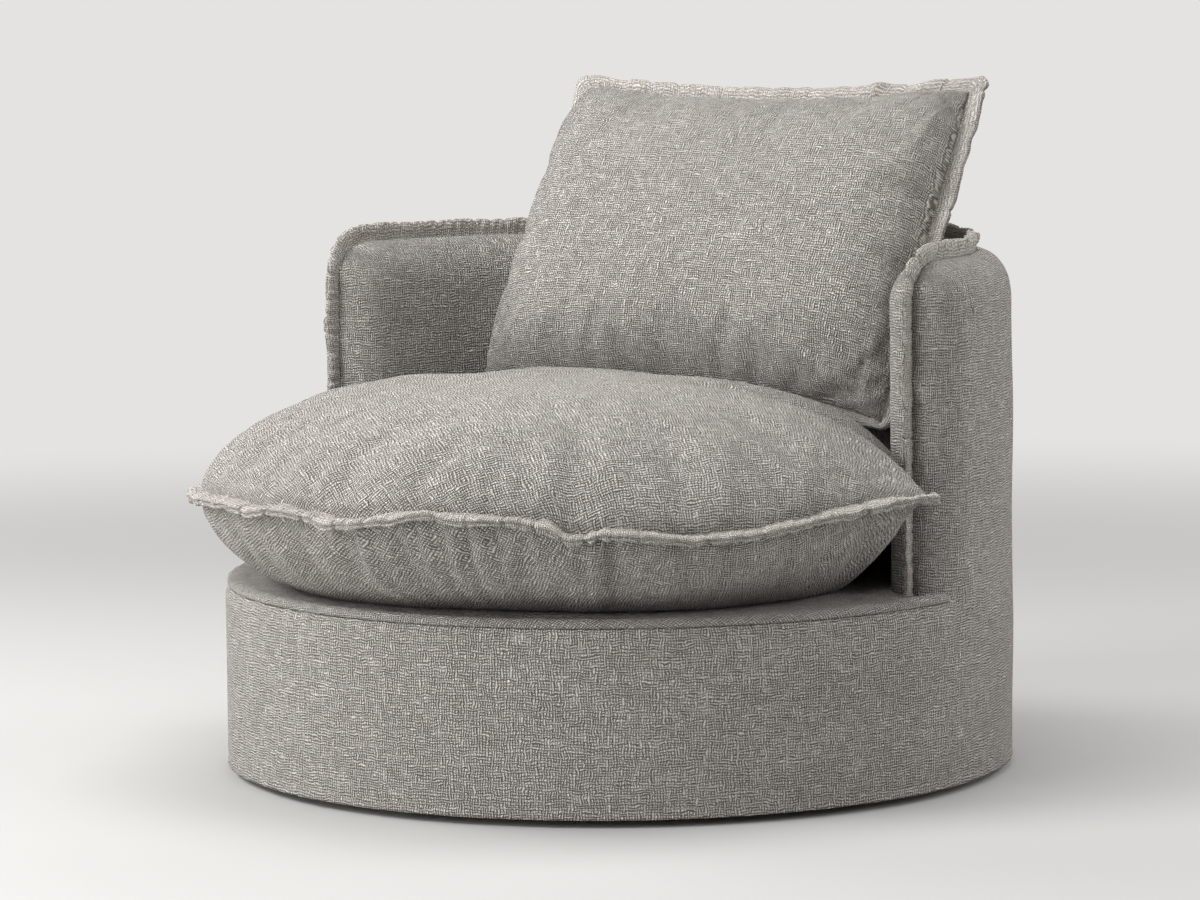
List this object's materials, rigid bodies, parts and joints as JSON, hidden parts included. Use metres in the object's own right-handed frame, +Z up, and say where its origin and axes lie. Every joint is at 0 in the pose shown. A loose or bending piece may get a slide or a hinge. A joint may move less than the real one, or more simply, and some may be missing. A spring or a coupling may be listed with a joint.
{
  "type": "swivel cuddle chair",
  "caption": "Round upholstered swivel cuddle chair: a drum base and curved padded arms and back, with a thick loose seat cushion and a loose back cushion.",
  "frame": {"origin": "on the floor, on the swivel's axis, under the middle of the drum", "axes": "-Y out of the seat's front, +X towards the arm on the right of a viewer who faces the chair, +Z up"},
  "size_m": [1.0842, 1.144, 0.9117],
  "materials": {
    "upholstery": "coarse plain-woven chenille and linen cloth, warm light grey, matt",
    "foam": "upholstery foam and fibre",
    "timber": "plywood and sawn pine, bare",
    "webbing": "woven elastic webbing",
    "dust_cloth": "black non-woven base cloth",
    "steel": "zinc-plated pressed steel",
    "nylon": "moulded nylon, and the cushion's zip on its tape"
  },
  "bodies": {
    "plinth": {"plinth_board": "timber", "glide_centre": "nylon", "glide_1": "nylon", "glide_2": "nylon", "glide_3": "nylon", "glide_4": "nylon", "lower_swivel_plate": "steel", "swivel_rivet": "steel", "lower_screw_1": "steel", "lower_screw_2": "steel", "lower_screw_3": "steel", "lower_screw_4": "steel"},
    "bearing_cage": {"ball_cage": "nylon", "bearing_ball_1": "steel", "bearing_ball_2": "steel", "bearing_ball_3": "steel", "bearing_ball_4": "steel", "bearing_ball_5": "steel", "bearing_ball_6": "steel"},
    "chair": {"outer_cover": "upholstery", "inner_cover": "upholstery", "arm_flange": "upholstery", "deck_cover": "upholstery", "deck_pad": "foam", "wall_foam": "foam", "base_foam": "foam", "seat_ring": "timber", "skirt_board": "timber", "base_post_1": "timber", "base_post_2": "timber", "base_post_3": "timber", "base_post_4": "timber", "base_post_5": "timber", "base_post_6": "timber", "top_rail": "timber", "wall_stud_1": "timber", "wall_stud_2": "timber", "wall_stud_3": "timber", "wall_stud_4": "timber", "wall_stud_5": "timber", "long_web_1": "webbing", "long_web_2": "webbing", "long_web_3": "webbing", "cross_web_1": "webbing", "cross_web_2": "webbing", "base_board": "timber", "upper_swivel_plate": "steel", "upper_screw_1": "steel", "upper_screw_2": "steel", "upper_screw_3": "steel", "upper_screw_4": "steel", "dust_cover": "dust_cloth"},
    "seat_cushion": {"seat_cover_top": "upholstery", "seat_cover_underside": "upholstery", "seat_core": "foam", "seat_zip_tape": "nylon"},
    "zip_slider": {"seat_zip_slider": "steel"},
    "back_cushion": {"back_cover_front": "upholstery", "back_cover_rear": "upholstery", "back_filling": "foam"}
  },
  "joints": [
    {"name": "swivel", "type": "hinge", "parent": "plinth", "child": "chair", "pos_m": [0, 0, 0.05], "axis": [0, 0, 1], "continuous": true},
    {"name": "cage_roll", "type": "hinge", "parent": "plinth", "child": "bearing_cage", "pos_m": [0, 0, 0.041], "axis": [0, 0, 1], "continuous": true},
    {"name": "seat_cushion_lift", "type": "slide", "parent": "chair", "child": "seat_cushion", "axis": [0, 0, 1], "range_m": [0, 0.5]},
    {"name": "zip_pull", "type": "hinge", "parent": "seat_cushion", "child": "zip_slider", "pos_m": [0, 0, 0.336], "axis": [0, 0, 1], "range_deg": [0, 80]},
    {"name": "back_cushion_lift", "type": "slide", "parent": "seat_cushion", "child": "back_cushion", "axis": [0, 0, 1], "range_m": [0, 0.5]}
  ],
  "couplings": [
    {"joint": "cage_roll", "follows": "swivel", "ratio": 0.5}
  ]
}
